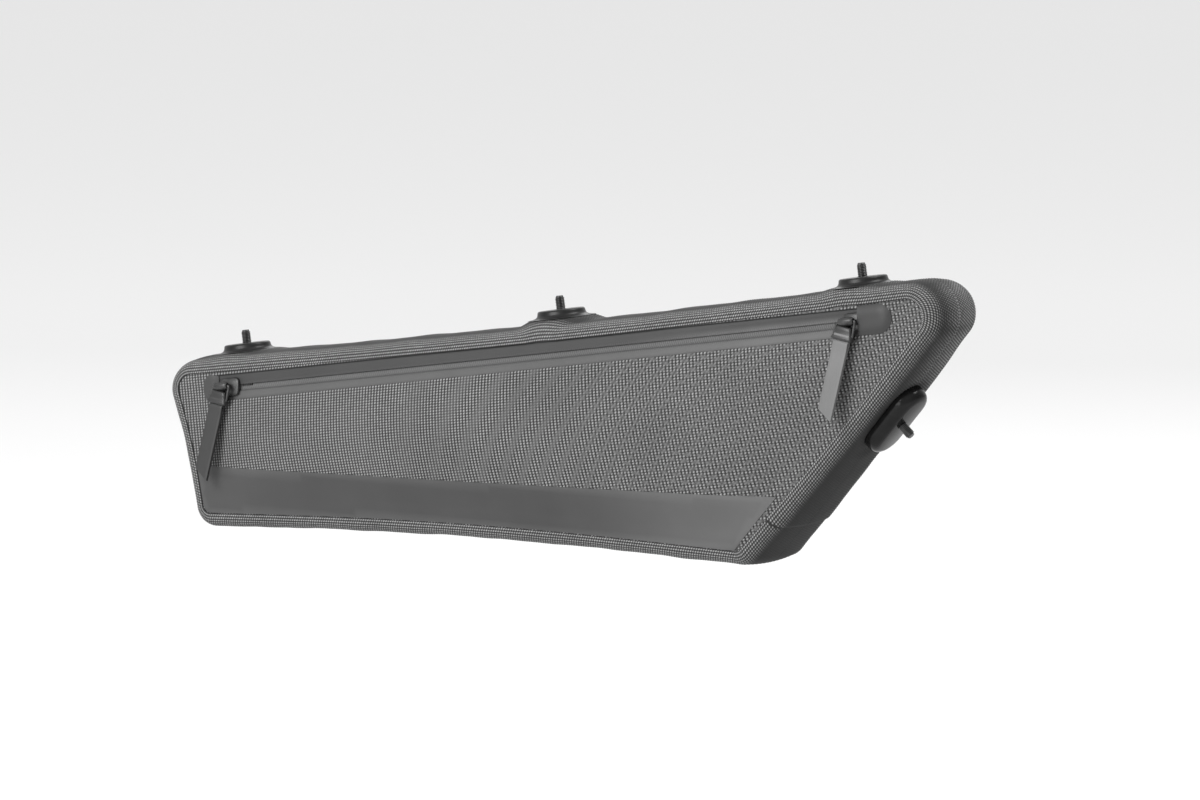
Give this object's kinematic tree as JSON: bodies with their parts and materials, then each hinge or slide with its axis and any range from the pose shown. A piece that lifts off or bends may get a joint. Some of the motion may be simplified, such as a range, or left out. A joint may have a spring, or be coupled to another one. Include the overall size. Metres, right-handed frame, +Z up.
{
  "type": "bicycle frame bag",
  "caption": "Half-frame bicycle bag: a tapering zipped cloth shell that bolts under the top tube on low bosses, with a smooth band along its foot and cloth zip pulls.",
  "frame": {"origin": "centre of the middle boss's seat on the top edge, on the bicycle's mid-plane, where the bag hangs from the top tube", "axes": "+X towards the front of the bicycle, +Z up, +Y away from the zipped face, which looks along -Y"},
  "size_m": [0.4785, 0.0718, 0.1613],
  "materials": {
    "cloth": "coarse two-tone woven cloth, matt",
    "coated": "smooth coated cloth, satin",
    "tape": "coated zip tape, satin",
    "metal": "black, satin",
    "moulding": "black, polished"
  },
  "bodies": {
    "bag": {"gusset": "cloth", "front_panel": "cloth", "back_panel": "cloth", "base_band": "coated", "zip_tape_upper": "tape", "zip_tape_lower": "tape", "zip_coil": "tape", "zip_garage_rear": "coated", "zip_garage_front": "coated", "slider_rear": "metal", "slider_front": "metal", "top_boss_rear": "moulding", "top_boss_middle": "moulding", "top_boss_front": "moulding", "down_tube_boss": "moulding", "bolt_rear": "metal", "bolt_middle": "metal", "bolt_front": "metal", "bolt_down_tube": "metal"},
    "rear_puller": {"pull_bail_rear": "metal", "pull_tab_rear": "coated"},
    "front_puller": {"pull_bail_front": "metal", "pull_tab_front": "coated"}
  },
  "joints": [
    {"name": "rear_pull_hinge", "type": "hinge", "parent": "bag", "child": "rear_puller", "pos_m": [-0.19909, -0.02842, -0.05034], "axis": [-0.9893, 0, -0.1461], "range_deg": [0, 150]},
    {"name": "front_pull_hinge", "type": "hinge", "parent": "bag", "child": "front_puller", "pos_m": [0.19031, -0.02583, 0.00706], "axis": [-0.9893, 0, -0.1461], "range_deg": [0, 150]}
  ]
}
